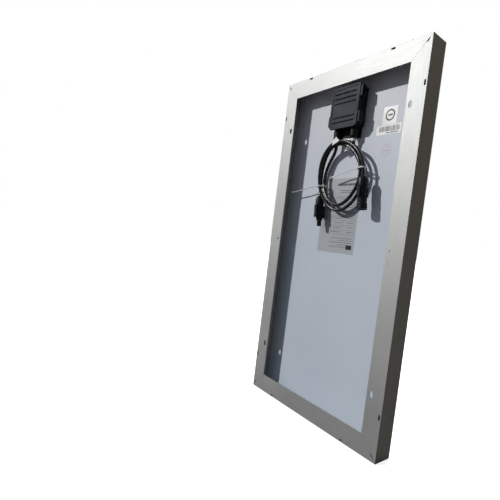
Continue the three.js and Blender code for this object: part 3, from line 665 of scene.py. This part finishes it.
def ring_marks():
    """A plain ring with a bar, on the square label."""
    x0, x1, z0, z1 = label_corners("mark_label")
    x, z = (x0 + x1) / 2, (z0 + z1) / 2 + 1
    return [*hoop(x, z, 9.8, 7.3), bar(x - 5, z - 1.2, x + 5, z + 1.2)]


def stamp_marks(x=-89, z=166):
    """A faint round ink stamp on the backsheet."""
    return [*hoop(x, z, 10, 9.3, 36), *hoop(x, z, 6.4, 6.0, 30), bar(x - 5, z - 0.8, x + 5, z + 0.8)]


add_print("rating_label_lines", rating_marks(), "print", "rating_label")
add_print("rating_label_heading", heading_marks(), "dark_print", "rating_label")
add_print("barcode", barcode_marks(), "dark_print", "serial_label")
add_print("approval_ring", ring_marks(), "dark_print", "mark_label")
add_print("stamp", stamp_marks(), "stamp", "backsheet")


# ---------------------------------------------------------------- nodes that keep their CAD shape

PLAIN_NODES = {
    "key": [f"corner_key_{a}_{b}" for a in ("top", "bottom") for b in ("left", "right")],
    "sealant": ["edge_sealant", "box_adhesive_pad"],
    "glass": ["front_glass"],
    "clear_front": ["encapsulant_front"],
    "clear_rear": ["encapsulant_rear"],
    "ribbon": ["bus_ribbon_bottom", "output_ribbon_left", "output_ribbon_right", "centre_tap_ribbon"],
    "backsheet": ["backsheet"],
    "foil": ["rating_label"],
    "paper": ["mark_label", "serial_label", "polarity_tag_left", "polarity_tag_right"],
    "rubber": ["lid_gasket", "gland_seal_left", "gland_seal_right", "plug_cable_seal", "plug_o_ring",
               "socket_cable_seal"],
    "tinned": ["terminal_plate_left", "terminal_plate_centre", "terminal_plate_right", "plug_contact",
               "socket_contact"],
    "epoxy": ["bypass_diode_left", "bypass_diode_right"],
    "nylon": ["cable_tie_left", "cable_tie_right"],
}
for look, names in PLAIN_NODES.items():
    for name in names:
        dress(name, look)


# ---------------------------------------------------------------- studio

def add_sun(name, towards_light, strength, color, angle_degrees):
    """A sun lamp in the given direction, with the disc's width as an angle."""
    data = bpy.data.lights.new(name, "SUN")
    data.energy = strength
    data.color = color
    data.angle = math.radians(angle_degrees)
    lamp = bpy.data.objects.new(name, data)
    lamp.rotation_mode = "QUATERNION"
    lamp.rotation_quaternion = Vector(towards_light).to_track_quat("Z", "Y")
    scene.collection.objects.link(lamp)


add_sun("key", (0.528, 0.715, 0.459), 1.9, (1.0, 0.985, 0.955), 2)
add_sun("front_fill", (0.45, -0.75, 0.5), 4.6, (0.99, 0.99, 1.0), 12)


FLOOR_RINGS = (0.4, 0.8, 1.6, 3.2, 8, 20, 60)


def add_floor():
    """A wide round floor just under the panel, pale to the camera and dark to everything else."""
    bm = bmesh.new()
    sides = 48
    rings = [[bm.verts.new((radius * math.cos(a), radius * math.sin(a), 0))
              for a in (math.tau * k / sides for k in range(sides))] for radius in FLOOR_RINGS]
    centre = bm.verts.new((0, 0, 0))
    for k in range(sides):
        n = (k + 1) % sides
        bm.faces.new((centre, rings[0][k], rings[0][n]))
        for inner, outer in zip(rings, rings[1:]):
            bm.faces.new((inner[k], outer[k], outer[n], inner[n]))
    floor = object_from(bm, "floor")
    floor.location.z = cad_box[0].z - 0.0005
    look = Look("floor", (0.3, 0.3, 0.3), 0.8, Emission_Strength=1.0)
    seen = look.node("ShaderNodeLightPath").outputs["Is Camera Ray"]
    pale = look.mix(look.span(look.noise(3), 0.3, 0.7), (0.86, 0.86, 0.865), (0.88, 0.88, 0.88))
    # Painted shade: to every ray but the camera's the floor is dark warm brown, standing in for the floor in
    # the panel's shadow that the frame's side reflects.
    look.link(look.mix(seen, (0.07, 0.065, 0.06), pale), "Base Color")
    look.link(look.mix(seen, (0, 0, 0), (0.80, 0.80, 0.80)), "Emission Color")
    floor.data.materials.append(look.material)


def add_world():
    """White behind the object for the camera, and a dim studio round it: warm and dark towards -X and -Y."""
    world = bpy.data.worlds.new("studio")
    scene.world = world
    world.use_nodes = True
    tree = world.node_tree
    back = tree.nodes["Background"]
    parts = tree.nodes.new("ShaderNodeSeparateXYZ")
    tree.links.new(tree.nodes.new("ShaderNodeTexCoord").outputs["Generated"], parts.inputs[0])

    lean = tree.nodes.new("ShaderNodeMath")
    tree.links.new(parts.outputs["X"], lean.inputs[0])
    tree.links.new(parts.outputs["Y"], lean.inputs[1])

    def span(value, low, high):
        made = tree.nodes.new("ShaderNodeMapRange")
        tree.links.new(value, made.inputs[0])
        made.inputs[1].default_value, made.inputs[2].default_value = low, high
        return made.outputs[0]

    def mix(factor, a, b):
        made = tree.nodes.new("ShaderNodeMix")
        made.data_type = "RGBA"
        tree.links.new(factor, made.inputs[0])
        for key, value in ((6, a), (7, b)):
            if isinstance(value, tuple):
                made.inputs[key].default_value = (*value, 1)
            else:
                tree.links.new(value, made.inputs[key])
        return made.outputs[2]

    dim_side = mix(span(parts.outputs["Z"], -0.15, 0.5), (0.022, 0.014, 0.008), (0.15, 0.128, 0.098))
    main_side = mix(span(parts.outputs["Z"], -0.3, 0.5), (0.09, 0.10, 0.115), (0.20, 0.23, 0.28))
    studio = mix(span(lean.outputs[0], -0.5, 0.5), dim_side, main_side)
    camera_ray = tree.nodes.new("ShaderNodeLightPath").outputs["Is Camera Ray"]
    tree.links.new(mix(camera_ray, studio, (1.0, 1.0, 1.0)), back.inputs[0])
    back.inputs[1].default_value = 1.0


add_floor()
add_world()
scene.view_settings.view_transform = "Standard"
scene.cycles.transparent_max_bounces = 24
scene.cycles.use_denoising = True
